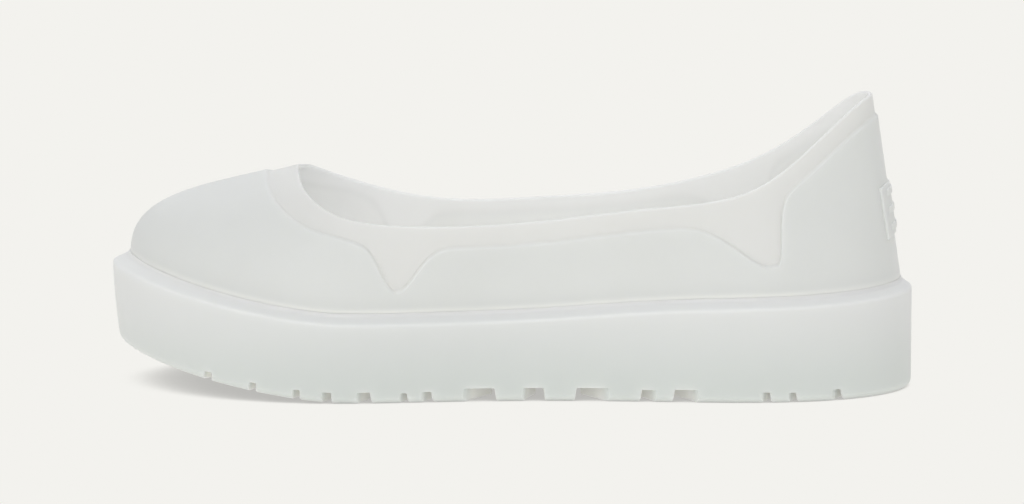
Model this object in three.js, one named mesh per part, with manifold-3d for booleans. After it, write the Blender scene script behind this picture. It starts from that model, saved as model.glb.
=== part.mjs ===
// A low rubber overshoe for the left foot, in millimetres: +X to the heel, +Y to the inner side, +Z up.
// The upper is one hollow shell around the last, and the sole is a cup with a side band, a ledge and lugs.
import * as THREE from 'three';
import { mergeVertices } from 'three/addons/utils/BufferGeometryUtils.js';
import Module from 'manifold-3d';

const wasm = await Module();
wasm.setup();

// Sizes of the last and the sole, from the floor up
const LENGTH = 285;
const BALL_WIDTH = 114;
const INSTEP_HEIGHT = 77;
const COLLAR_LOW_HEIGHT = 60.2;
const HEEL_TAB_HEIGHT = 104;
const BAND_HEIGHT = 31.3;
const BAND_HEIGHT_AT_HEEL = 39;
const TOE_SPRING = 15.5;
const SPRING_LENGTH = 84.5;
const SPRING_CURVE = 1.5;

// Walls and steps
const SKIN_WALL = 1.6;
const PANEL_RAISE = 0.9;
const PANEL_EDGE_RUN = 0.9;
const RIM_ROUND = 0.5;
const COLLAR_STRIP = 7.2;
const INNER_STRIP = 4.8;
const THROAT_STRIP = 11;
const THROAT_RUN = 20;
const LEDGE_WIDTH = 4.5;
const LEDGE_DROP = 5.5;
const FIT_GAP = 0.3;

// The strip has its inner side's width from this share of the ball width off the middle line
const INNER_SIDE = 0.2;

// The sole's floor, edge and lugs
const SOLE_BASE = 5.5;
const LUG_DEPTH = 4.8;
const EDGE_ROUND = 2.5;
const FLOOR_FILLET = 2;
const ROUND_MIDDLE = 0.3;
const TOE_TUCK = 2;
const TUCK_AT_HALF_HEIGHT = 0.35;
const LUG_TAPER = 0.7;
const ZIGZAG = 7;

// The plain grip pad on the heel's spine, down from the tab
const PAD_DROP = 31.5;
const PAD_HEIGHT = 18.5;
const PAD_WIDTH = 23;
const PAD_RAISE = 0.8;
const GRIP_BARS = 3;
const GRIP_BAR_HEIGHT = 2.6;
const GRIP_BAR_RAISE = 0.5;

// Sections around the last, from the toe tip along the inner side, round the heel and back on the outer side.
// along and across place the sole's edge, and rimAlong and rimAcross the topline, as shares of length and of
// ball width. throat and back are shares of the topline's rise to the instep and to the heel tab, lift is the
// share of the band's rise to the heel, ledge the share of its width, and tuck that of the wall's lean at the
// toe. rise and reach are the lengths of the wall's bends at the ledge and at the topline as shares of its
// chord, lean its tilt inward at the ledge and pitch its tilt below level at the topline, in degrees.
const SECTIONS = [
  { name: 'toe tip', along: -0.5, across: 0.07, rimAlong: -0.266, rimAcross: 0.035, throat: 1, back: 0,
    lift: 0.195, ledge: 1.4, tuck: 1, rise: 0.3, lean: 0, reach: 0.5, pitch: 15 },
  { name: 'inner toe', along: -0.463, across: 0.307, rimAlong: -0.262, rimAcross: 0.149, throat: 0.93,
    back: 0, lift: 0.16, ledge: 1.3, tuck: 0.9, rise: 0.3, lean: 0, reach: 0.5, pitch: 17 },
  { name: 'inner toe shoulder', along: -0.372, across: 0.456, rimAlong: -0.251, rimAcross: 0.268,
    throat: 0.82, back: 0, lift: 0.083, ledge: 1.1, tuck: 0.5, rise: 0.32, lean: 2, reach: 0.45, pitch: 24 },
  { name: 'inner ball', along: -0.232, across: 0.5, rimAlong: -0.2, rimAcross: 0.355, throat: 0.45, back: 0,
    lift: 0, ledge: 1, tuck: 0.2, rise: 0.36, lean: 3, reach: 0.4, pitch: 48 },
  { name: 'inner fore waist', along: -0.095, across: 0.447, rimAlong: -0.091, rimAcross: 0.368, throat: 0.04,
    back: 0, lift: 0, ledge: 1, tuck: 0.1, rise: 0.36, lean: 4, reach: 0.33, pitch: 74 },
  { name: 'inner waist', along: 0.042, across: 0.346, rimAlong: 0.035, rimAcross: 0.289, throat: 0,
    back: 0.048, lift: 0.16, ledge: 1, tuck: 0.1, rise: 0.33, lean: 5, reach: 0.33, pitch: 80 },
  { name: 'inner heel front', along: 0.179, across: 0.311, rimAlong: 0.161, rimAcross: 0.241, throat: 0,
    back: 0.13, lift: 0.52, ledge: 1, tuck: 0, rise: 0.33, lean: 6, reach: 0.33, pitch: 80 },
  { name: 'inner heel', along: 0.309, across: 0.333, rimAlong: 0.281, rimAcross: 0.219, throat: 0,
    back: 0.318, lift: 0.7, ledge: 0.95, tuck: 0, rise: 0.33, lean: 7, reach: 0.33, pitch: 80 },
  { name: 'inner heel corner', along: 0.414, across: 0.268, rimAlong: 0.365, rimAcross: 0.154, throat: 0,
    back: 0.62, lift: 0.82, ledge: 0.9, tuck: 0, rise: 0.33, lean: 8, reach: 0.33, pitch: 80 },
  { name: 'inner heel back', along: 0.479, across: 0.114, rimAlong: 0.427, rimAcross: 0.046, throat: 0,
    back: 0.95, lift: 0.94, ledge: 0.9, tuck: 0, rise: 0.33, lean: 8, reach: 0.33, pitch: 81 },
  { name: 'heel back', along: 0.5, across: -0.07, rimAlong: 0.4488, rimAcross: -0.07, throat: 0, back: 1,
    lift: 1, ledge: 0.9, tuck: 0, rise: 0.33, lean: 8.4, reach: 0.33, pitch: 81.6 },
  { name: 'outer heel back', along: 0.479, across: -0.254, rimAlong: 0.427, rimAcross: -0.195, throat: 0,
    back: 0.93, lift: 0.94, ledge: 0.9, tuck: 0, rise: 0.33, lean: 8, reach: 0.33, pitch: 81 },
  { name: 'outer heel corner', along: 0.414, across: -0.408, rimAlong: 0.365, rimAcross: -0.303, throat: 0,
    back: 0.6, lift: 0.82, ledge: 0.9, tuck: 0, rise: 0.33, lean: 8, reach: 0.33, pitch: 80 },
  { name: 'outer heel', along: 0.309, across: -0.478, rimAlong: 0.281, rimAcross: -0.368, throat: 0,
    back: 0.26, lift: 0.7, ledge: 0.95, tuck: 0, rise: 0.33, lean: 7, reach: 0.33, pitch: 80 },
  { name: 'outer heel front', along: 0.179, across: -0.461, rimAlong: 0.161, rimAcross: -0.386, throat: 0,
    back: 0.15, lift: 0.52, ledge: 1, tuck: 0, rise: 0.33, lean: 6, reach: 0.33, pitch: 80 },
  { name: 'outer waist', along: 0.042, across: -0.443, rimAlong: 0.035, rimAcross: -0.368, throat: 0,
    back: 0.048, lift: 0.16, ledge: 1, tuck: 0.1, rise: 0.33, lean: 5, reach: 0.33, pitch: 80 },
  { name: 'outer fore waist', along: -0.095, across: -0.469, rimAlong: -0.091, rimAcross: -0.39, throat: 0.03,
    back: 0, lift: 0, ledge: 1, tuck: 0.1, rise: 0.36, lean: 4, reach: 0.33, pitch: 76 },
  { name: 'outer ball', along: -0.232, across: -0.5, rimAlong: -0.2, rimAcross: -0.368, throat: 0.17, back: 0,
    lift: 0, ledge: 1, tuck: 0.2, rise: 0.36, lean: 3, reach: 0.4, pitch: 58 },
  { name: 'outer toe shoulder', along: -0.372, across: -0.408, rimAlong: -0.251, rimAcross: -0.263,
    throat: 0.64, back: 0, lift: 0.083, ledge: 1.1, tuck: 0.5, rise: 0.32, lean: 2, reach: 0.45, pitch: 28 },
  { name: 'outer toe', along: -0.467, across: -0.193, rimAlong: -0.263, rimAcross: -0.105, throat: 0.9,
    back: 0, lift: 0.163, ledge: 1.3, tuck: 0.9, rise: 0.3, lean: 0, reach: 0.5, pitch: 18 },
];

// The ledge from its outer foot to the crease, as shares of its width and of its drop below the crease
const LEDGE_PROFILE = [
  { inset: 0, drop: 1 },
  { inset: 0.08, drop: 0.62 },
  { inset: 0.3, drop: 0.34 },
  { inset: 0.72, drop: 0.12 },
  { inset: 1, drop: 0 },
];

// Flex notches where the thin collar strip dips between the raised panels, on both sides of the foot
const NOTCHES = [
  { name: 'ball notch', along: -0.131, frontRun: 0.026, backRun: 0.028, depth: 15.6 },
  { name: 'heel notch', along: 0.302, frontRun: 0.05, backRun: 0.017, depth: 20.5 },
];

// Grooves across the tread: along is the place of each as a share of length, edgeWidth and middleWidth are
// the gaps between the lugs at the edge and at the middle of the sole, depth is the share of the lugs' depth,
// and turn how strongly the groove turns to the heel on its way in from the outer edge
const GROOVES = [
  { along: -0.383, edgeWidth: 3.6, middleWidth: 3, depth: 0.65, turn: 1 },
  { along: -0.318, edgeWidth: 3, middleWidth: 3, depth: 0.7, turn: 1 },
  { along: -0.259, edgeWidth: 3, middleWidth: 3, depth: 0.75, turn: 1 },
  { along: -0.22, edgeWidth: 3.6, middleWidth: 3, depth: 0.8, turn: 1 },
  { along: -0.174, edgeWidth: 5, middleWidth: 3.4, depth: 0.85, turn: 1 },
  { along: -0.128, edgeWidth: 2.8, middleWidth: 2.8, depth: 0.75, turn: 1 },
  { along: -0.101, edgeWidth: 3.6, middleWidth: 3, depth: 0.8, turn: 1 },
  { along: -0.039, edgeWidth: 11.4, middleWidth: 5, depth: 1, turn: 1 },
  { along: 0.027, edgeWidth: 8.2, middleWidth: 4, depth: 1, turn: 0.4 },
  { along: 0.101, edgeWidth: 12.4, middleWidth: 5, depth: 1, turn: -1 },
  { along: 0.168, edgeWidth: 5.4, middleWidth: 3.4, depth: 0.9, turn: -1 },
  { along: 0.212, edgeWidth: 8.6, middleWidth: 4, depth: 0.95, turn: -1 },
  { along: 0.314, edgeWidth: 3.2, middleWidth: 3, depth: 0.8, turn: 1 },
  { along: 0.345, edgeWidth: 2.8, middleWidth: 2.8, depth: 0.75, turn: 1 },
  { along: 0.394, edgeWidth: 2.8, middleWidth: 2.8, depth: 0.85, turn: 1 },
];

// The zigzag of each groove: across is a share of ball width, shift a share of the zigzag's depth towards the
// heel, and flare how far the gap has opened from its middle width to its edge width
const ZIGZAG_BENDS = [
  { across: -0.62, shift: -1, flare: 1 },
  { across: -0.46, shift: 0, flare: 1 },
  { across: -0.3, shift: 1, flare: 0 },
  { across: -0.1, shift: 0, flare: 0 },
  { across: 0.1, shift: 1, flare: 0 },
  { across: 0.3, shift: 0, flare: 0 },
  { across: 0.46, shift: 1, flare: 1 },
  { across: 0.62, shift: 2, flare: 1 },
];

// Mesh steps
const STEPS_PER_SECTION = 6;
const SMOOTHING_PASSES = 40;
const WALL_STEPS = 6;
const CROSS_STEPS = 4;
const CUTTER_REACH = 10;
const PAD_STEPS = 6;
const DERIVATIVE_STEP = 0.01;
const LINE_DIVISIONS = 60;

const UP = new THREE.Vector3(0, 0, 1);
const TURNS = SECTIONS.length * STEPS_PER_SECTION;

// Control values of the smooth closed curve that passes through one column of the sections
function smoothColumn(column) {
  const wanted = SECTIONS.map((row) => row[column]);
  const count = wanted.length;
  let control = [...wanted];
  for (let pass = 0; pass < SMOOTHING_PASSES; pass++) {
    control = control.map((value, i) => {
      const reached = (control[(i + count - 1) % count] + 4 * value + control[(i + 1) % count]) / 6;
      return value + wanted[i] - reached;
    });
  }
  return control;
}

const COLUMNS = {};
for (const column of Object.keys(SECTIONS[0])) {
  if (column !== 'name') COLUMNS[column] = smoothColumn(column);
}

// The value of a column at a place around the last, where section number k lies at u = k
function valueAt(column, u) {
  const control = COLUMNS[column];
  const count = control.length;
  const first = Math.floor(u);
  const t = u - first;
  const at = (step) => control[(((first + step) % count) + count) % count];
  const before = (1 - t) ** 3;
  const here = 3 * t ** 3 - 6 * t ** 2 + 4;
  const next = -3 * t ** 3 + 3 * t ** 2 + 3 * t + 1;
  return (before * at(-1) + here * at(0) + next * at(1) + t ** 3 * at(2)) / 6;
}

// How far the toe spring lifts the sole off the floor
function springAt(x) {
  const start = SPRING_LENGTH - LENGTH / 2;
  return TOE_SPRING * (Math.max(0, start - x) / SPRING_LENGTH) ** SPRING_CURVE;
}

function edgePoint(u) {
  return new THREE.Vector3(valueAt('along', u) * LENGTH, valueAt('across', u) * BALL_WIDTH, 0);
}

// Level direction out of the sole's edge
function edgeNormal(u) {
  const tangent = edgePoint(u + DERIVATIVE_STEP).sub(edgePoint(u - DERIVATIVE_STEP));
  return new THREE.Vector3(-tangent.y, tangent.x, 0).normalize();
}

// A point that lies inset from the sole's edge
function insetPoint(u, inset) {
  return edgePoint(u).addScaledVector(edgeNormal(u), -inset);
}

function ledgeAt(u) {
  return LEDGE_WIDTH * valueAt('ledge', u);
}

// Height of the crease between the ledge and the upper
function creaseHeight(u, x) {
  return springAt(x) + BAND_HEIGHT + valueAt('lift', u) * (BAND_HEIGHT_AT_HEEL - BAND_HEIGHT);
}

function floorHeight(x) {
  return springAt(x) + LUG_DEPTH + SOLE_BASE;
}

function rimPoint(u) {
  const height = COLLAR_LOW_HEIGHT
    + valueAt('throat', u) * (INSTEP_HEIGHT - COLLAR_LOW_HEIGHT)
    + valueAt('back', u) * (HEEL_TAB_HEIGHT - COLLAR_LOW_HEIGHT);
  return new THREE.Vector3(valueAt('rimAlong', u) * LENGTH, valueAt('rimAcross', u) * BALL_WIDTH, height);
}

// Where the upper's skin meets the crease, behind the raised panels
function footPoint(u) {
  const foot = insetPoint(u, ledgeAt(u) + PANEL_RAISE);
  foot.z = creaseHeight(u, foot.x);
  return foot;
}

// The line of the upper's skin from the crease to the topline
function wallLine(u) {
  const foot = footPoint(u);
  const rim = rimPoint(u);
  const chord = rim.distanceTo(foot);
  const outward = foot.clone().sub(rim).setZ(0).normalize();
  const lean = THREE.MathUtils.degToRad(valueAt('lean', u));
  const pitch = THREE.MathUtils.degToRad(valueAt('pitch', u));
  const leaving = UP.clone().multiplyScalar(Math.cos(lean)).addScaledVector(outward, -Math.sin(lean));
  const arriving = outward.clone().multiplyScalar(Math.cos(pitch)).addScaledVector(UP, -Math.sin(pitch));
  const lowBend = foot.clone().addScaledVector(leaving, valueAt('rise', u) * chord);
  const highBend = rim.clone().addScaledVector(arriving, valueAt('reach', u) * chord);
  const line = new THREE.CubicBezierCurve3(foot, lowBend, highBend, rim);
  line.arcLengthDivisions = LINE_DIVISIONS;
  return line;
}

// Points and outward directions of the skin at one place around the last
function skinAt(u) {
  const line = wallLine(u);
  const before = wallLine(u - DERIVATIVE_STEP);
  const after = wallLine(u + DERIVATIVE_STEP);
  const length = line.getLength();
  const pointAt = (drop, out) => {
    const share = THREE.MathUtils.clamp(1 - drop / length, 0, 1);
    const around = after.getPointAt(share).sub(before.getPointAt(share));
    const normal = around.cross(line.getTangentAt(share)).normalize();
    return line.getPointAt(share).addScaledVector(normal, -out);
  };
  return { length, pointAt };
}

// Width of the thin strip under the topline, from the topline down to the edge of the raised panels
function stripWidth(u) {
  const x = valueAt('rimAlong', u);
  const throat = SECTIONS[0].rimAlong * LENGTH;
  const throatShare = 1 - THREE.MathUtils.smoothstep(x * LENGTH, throat, throat + THROAT_RUN);
  const innerShare = THREE.MathUtils.smoothstep(valueAt('rimAcross', u), 0, INNER_SIDE);
  const sideStrip = COLLAR_STRIP + innerShare * (INNER_STRIP - COLLAR_STRIP);
  let width = sideStrip + throatShare * (THROAT_STRIP - sideStrip);
  for (const notch of NOTCHES) {
    const run = x < notch.along ? notch.frontRun : notch.backRun;
    width += notch.depth * Math.exp(-(((x - notch.along) / run) ** 2));
  }
  return width;
}

// Every ring has one point for each step around the last
function ringOf(pointAtTurn) {
  return Array.from({ length: TURNS }, (_, i) => pointAtTurn(i / STEPS_PER_SECTION));
}

// Faces between neighbouring rings of a list, each ring a closed loop of point numbers
function ringFaces(ringCount, closed) {
  const faces = [];
  const last = closed ? ringCount : ringCount - 1;
  for (let k = 0; k < last; k++) {
    const low = k * TURNS;
    const high = ((k + 1) % ringCount) * TURNS;
    for (let i = 0; i < TURNS; i++) {
      const next = (i + 1) % TURNS;
      faces.push([low + i, high + next, low + next], [low + i, high + i, high + next]);
    }
  }
  return faces;
}

// A closed skin of cross lines over a ring, from its inner side to its outer side
function crossCap(points, ringStart, heightAt, facesUp) {
  const faces = [];
  const half = TURNS / 2;
  const lines = [];
  for (let i = 0; i <= half; i++) {
    const inner = ringStart + i;
    const outer = ringStart + ((TURNS - i) % TURNS);
    if (inner === outer) {
      lines.push([inner]);
      continue;
    }
    const line = [inner];
    for (let j = 1; j < CROSS_STEPS; j++) {
      const point = points[inner].clone().lerp(points[outer], j / CROSS_STEPS);
      point.z = heightAt(point.x);
      line.push(points.push(point) - 1);
    }
    line.push(outer);
    lines.push(line);
  }
  for (let i = 0; i < half; i++) {
    const here = lines[i];
    const next = lines[i + 1];
    for (let j = 0; j < CROSS_STEPS; j++) {
      const a = here[Math.min(j, here.length - 1)];
      const b = here[Math.min(j + 1, here.length - 1)];
      const c = next[Math.min(j + 1, next.length - 1)];
      const d = next[Math.min(j, next.length - 1)];
      if (a !== b) faces.push([a, b, c]);
      if (c !== d) faces.push([a, c, d]);
    }
  }
  return facesUp ? faces : faces.map(([a, b, c]) => [a, c, b]);
}

function solidFrom(points, faces) {
  const geometry = new THREE.BufferGeometry();
  const places = points.flatMap((point) => [point.x, point.y, point.z]);
  geometry.setAttribute('position', new THREE.Float32BufferAttribute(places, 3));
  geometry.setIndex(faces.flat());
  const merged = mergeVertices(geometry);
  return new wasm.Manifold(new wasm.Mesh({
    numProp: 3,
    vertProperties: new Float32Array(merged.getAttribute('position').array),
    triVerts: new Uint32Array(merged.getIndex().array),
  }));
}

function geometryFrom(solid) {
  const mesh = solid.getMesh();
  const geometry = new THREE.BufferGeometry();
  geometry.setAttribute('position', new THREE.BufferAttribute(new Float32Array(mesh.vertProperties), 3));
  geometry.setIndex(new THREE.BufferAttribute(new Uint32Array(mesh.triVerts), 1));
  geometry.computeVertexNormals();
  return geometry;
}

// A closed block between two outlines with the same number of corners, the low one turning to the left
function prismFrom(low, high) {
  const count = low.length;
  const flat = low.map((p) => new THREE.Vector2(p.x, p.y));
  const capFaces = THREE.ShapeUtils.triangulateShape(flat, []);
  const faces = [];
  for (const [a, b, c] of capFaces) {
    faces.push([a, c, b], [a + count, b + count, c + count]);
  }
  for (let i = 0; i < count; i++) {
    const next = (i + 1) % count;
    faces.push([i, next, next + count], [i, next + count, i + count]);
  }
  return solidFrom([...low, ...high], faces);
}

// The hollow shell of the upper, open at the collar and underneath
function upperShell() {
  const innerSide = PANEL_RAISE + SKIN_WALL;
  const footRing = (inset) => ringOf((u) => {
    const point = insetPoint(u, ledgeAt(u) + inset);
    point.z = floorHeight(point.x) + FLOOR_FILLET + FIT_GAP;
    return point;
  });
  const creaseRing = (inset) => ringOf((u) => {
    const point = insetPoint(u, ledgeAt(u) + inset);
    point.z = footPoint(u).z;
    return point;
  });
  const skinRing = (dropAt, out) => ringOf((u) => {
    const skin = skinAt(u);
    return skin.pointAt(dropAt(u, skin.length), out);
  });
  const panelDrop = (share) => (u, length) => {
    const edge = stripWidth(u) + PANEL_EDGE_RUN;
    return edge + share * (length - edge);
  };
  const rings = [footRing(0), creaseRing(0)];
  for (let k = WALL_STEPS - 1; k >= 0; k--) {
    rings.push(skinRing(panelDrop(k / WALL_STEPS), PANEL_RAISE));
  }
  rings.push(
    skinRing(stripWidth, 0),
    skinRing((u) => stripWidth(u) / 2, 0),
    skinRing(() => RIM_ROUND, 0),
    skinRing(() => 0, -SKIN_WALL / 2),
    skinRing(() => RIM_ROUND, -SKIN_WALL),
  );
  for (let k = 1; k < WALL_STEPS; k++) {
    rings.push(skinRing((u, length) => (k / WALL_STEPS) * length, -SKIN_WALL));
  }
  rings.push(creaseRing(innerSide), footRing(innerSide));
  return solidFrom(rings.flat(), ringFaces(rings.length, true));
}

// A raised patch on the heel's spine, fused into the wall behind it
function spinePatch(top, height, width, low, high) {
  const middle = SECTIONS.findIndex((row) => row.name === 'heel back');
  const pace = rimPoint(middle + 0.5).distanceTo(rimPoint(middle - 0.5));
  const points = [];
  for (const out of [low, high]) {
    const draft = out === high ? (high - low) / 3 : 0;
    for (let i = 0; i <= PAD_STEPS; i++) {
      const side = (i / PAD_STEPS - 0.5) * (width - 2 * draft);
      const skin = skinAt(middle + side / pace);
      for (const drop of [top + draft, top + height - draft]) points.push(skin.pointAt(drop, out));
    }
  }
  const row = 2 * (PAD_STEPS + 1);
  const faces = [];
  for (let i = 0; i < PAD_STEPS; i++) {
    const a = 2 * i;
    const quads = [
      [a, a + 1, a + 3, a + 2],
      [row + a, row + a + 2, row + a + 3, row + a + 1],
      [a, a + 2, row + a + 2, row + a],
      [a + 1, row + a + 1, row + a + 3, a + 3],
    ];
    for (const [p, q, r, s] of quads) faces.push([p, q, r], [p, r, s]);
  }
  const end = 2 * PAD_STEPS;
  for (const [p, q, r, s] of [[0, row, row + 1, 1], [end, end + 1, row + end + 1, row + end]]) {
    faces.push([p, q, r], [p, r, s]);
  }
  return solidFrom(points, faces);
}

function heelPad() {
  const root = PANEL_RAISE - SKIN_WALL;
  const face = PANEL_RAISE + PAD_RAISE;
  let pad = spinePatch(PAD_DROP, PAD_HEIGHT, PAD_WIDTH, root, face);
  const pitch = PAD_HEIGHT / GRIP_BARS;
  for (let k = 0; k < GRIP_BARS; k++) {
    const top = PAD_DROP + (k + 0.5) * pitch - GRIP_BAR_HEIGHT / 2;
    const bar = spinePatch(top, GRIP_BAR_HEIGHT, PAD_WIDTH - pitch, root, face + GRIP_BAR_RAISE);
    pad = pad.add(bar);
  }
  return pad;
}

// The cup of the sole: side band, ledge, inner wall and floor
function soleCup() {
  const tuck = (u) => TOE_TUCK * valueAt('tuck', u);
  const wallInset = (u) => ledgeAt(u) - FIT_GAP;
  const edgeMiddle = ROUND_MIDDLE * EDGE_ROUND;
  const filletMiddle = ROUND_MIDDLE * FLOOR_FILLET;
  const halfHeight = (x, u) => (springAt(x) + creaseHeight(u, x) - LEDGE_DROP) / 2;
  const ringAt = (insetAt, heightAt) => ringOf((u) => {
    const point = insetPoint(u, insetAt(u));
    point.z = heightAt(point.x, u);
    return point;
  });
  const ledgeRing = ({ inset, drop }) => ringOf((u) => {
    const point = insetPoint(u, inset * wallInset(u));
    point.z = creaseHeight(u, footPoint(u).x) - drop * LEDGE_DROP;
    return point;
  });
  const rings = [
    ringAt((u) => tuck(u) + EDGE_ROUND, springAt),
    ringAt((u) => tuck(u) + edgeMiddle, (x) => springAt(x) + edgeMiddle),
    ringAt(tuck, (x) => springAt(x) + EDGE_ROUND),
    ringAt((u) => TUCK_AT_HALF_HEIGHT * tuck(u), halfHeight),
    ...LEDGE_PROFILE.map(ledgeRing),
    ringAt(wallInset, (x) => floorHeight(x) + FLOOR_FILLET),
    ringAt((u) => wallInset(u) + filletMiddle, (x) => floorHeight(x) + filletMiddle),
    ringAt((u) => wallInset(u) + FLOOR_FILLET, floorHeight),
  ];
  const points = rings.flat();
  const faces = ringFaces(rings.length, false);
  faces.push(...crossCap(points, 0, springAt, false));
  faces.push(...crossCap(points, (rings.length - 1) * TURNS, floorHeight, true));
  return solidFrom(points, faces);
}

// The space of one groove, a zigzag across the tread that follows the toe spring
function grooveCutter(groove) {
  const sideOf = (side, spread, z) => ZIGZAG_BENDS.map((bend) => {
    const width = groove.middleWidth + bend.flare * (groove.edgeWidth - groove.middleWidth);
    const x = side * (width / 2 + spread) + groove.turn * bend.shift * ZIGZAG;
    return new THREE.Vector3(x, bend.across * BALL_WIDTH, z);
  });
  const outlineAt = (spread, z) => [...sideOf(1, spread, z), ...sideOf(-1, spread, z).reverse()];
  const x = groove.along * LENGTH;
  const slope = Math.atan2(springAt(x - 1) - springAt(x + 1), 2);
  const place = new THREE.Matrix4().makeRotationY(slope);
  place.setPosition(x, 0, springAt(x));
  const depth = groove.depth * LUG_DEPTH;
  const low = outlineAt(LUG_TAPER * (CUTTER_REACH / LUG_DEPTH), -CUTTER_REACH);
  const high = outlineAt(-LUG_TAPER * groove.depth, depth);
  return prismFrom(low.map((p) => p.applyMatrix4(place)), high.map((p) => p.applyMatrix4(place)));
}

function sole() {
  let solid = soleCup();
  for (const groove of GROOVES) solid = solid.subtract(grooveCutter(groove));
  return solid;
}

function piece(name, solid, color, roughness) {
  const material = new THREE.MeshStandardMaterial({ color, roughness, metalness: 0 });
  const mesh = new THREE.Mesh(geometryFrom(solid), material);
  mesh.name = name;
  return mesh;
}

const overshoe = new THREE.Group();
overshoe.add(piece('upper', upperShell().add(heelPad()), '#dcdfdc', 0.4));
overshoe.add(piece('sole', sole(), '#d9dddb', 0.45));

export default overshoe;
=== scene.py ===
# A low overshoe of milky rubber for the left foot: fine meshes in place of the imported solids.
# Lengths in the shape functions are millimetres, with +X to the heel, +Y to the inner side and +Z up.
import math
import bpy
import numpy as np
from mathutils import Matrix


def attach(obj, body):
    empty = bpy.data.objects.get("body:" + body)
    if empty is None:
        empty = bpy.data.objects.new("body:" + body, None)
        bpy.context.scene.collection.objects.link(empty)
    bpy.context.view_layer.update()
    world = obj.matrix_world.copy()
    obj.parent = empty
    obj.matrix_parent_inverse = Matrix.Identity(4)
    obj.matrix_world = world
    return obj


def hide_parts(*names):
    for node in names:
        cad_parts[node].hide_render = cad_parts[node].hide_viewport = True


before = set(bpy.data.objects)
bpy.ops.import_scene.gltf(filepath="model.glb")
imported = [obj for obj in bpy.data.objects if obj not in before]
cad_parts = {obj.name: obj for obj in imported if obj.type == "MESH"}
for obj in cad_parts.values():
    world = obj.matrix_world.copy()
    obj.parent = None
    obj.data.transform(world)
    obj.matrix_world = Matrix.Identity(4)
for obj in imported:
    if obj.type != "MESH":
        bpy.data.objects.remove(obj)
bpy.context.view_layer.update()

METRES = 0.001

# Sizes of the last and the sole, from the floor up
LENGTH = 285
BALL_WIDTH = 114
INSTEP_HEIGHT = 77
COLLAR_LOW_HEIGHT = 60.2
HEEL_TAB_HEIGHT = 104
BAND_HEIGHT = 31.3
BAND_HEIGHT_AT_HEEL = 39
TOE_SPRING = 15.5
SPRING_LENGTH = 84.5
SPRING_CURVE = 1.5

# Walls and steps
SKIN_WALL = 1.6
PANEL_RAISE = 0.9
PANEL_EDGE_RUN = 1.9
PANEL_EDGE_LEAD = 0.5
COLLAR_STRIP = 7.2
INNER_STRIP = 4.8
THROAT_STRIP = 11
THROAT_RUN = 20
LEDGE_WIDTH = 4.5
LEDGE_DROP = 5.5
FIT_GAP = 0.3
SEAM_GAP = 0.08

# The strip has its inner side's width from this share of the ball width off the middle line
INNER_SIDE = 0.2

# The sole's floor, edge and lugs
SOLE_BASE = 5.5
LUG_DEPTH = 4.8
EDGE_ROUND = 2.5
FLOOR_FILLET = 2
TOE_TUCK = 2
TUCK_AT_HALF_HEIGHT = 0.35
LUG_TAPER = 0.7
LUG_EDGE_ROUND = 0.55
GROOVE_FILLET = 0.45
ZIGZAG = 7
BEND_ROUND = 1.2

# The plain grip pad on the heel's spine, down from the tab
PAD_DROP = 31.5
PAD_HEIGHT = 18.5
PAD_WIDTH = 23
PAD_RAISE = 0.8
PAD_EDGE = 0.6
GRIP_BARS = 3
GRIP_BAR_HEIGHT = 2.6
GRIP_BAR_RAISE = 0.5
GRIP_BAR_EDGE = 0.5

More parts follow.
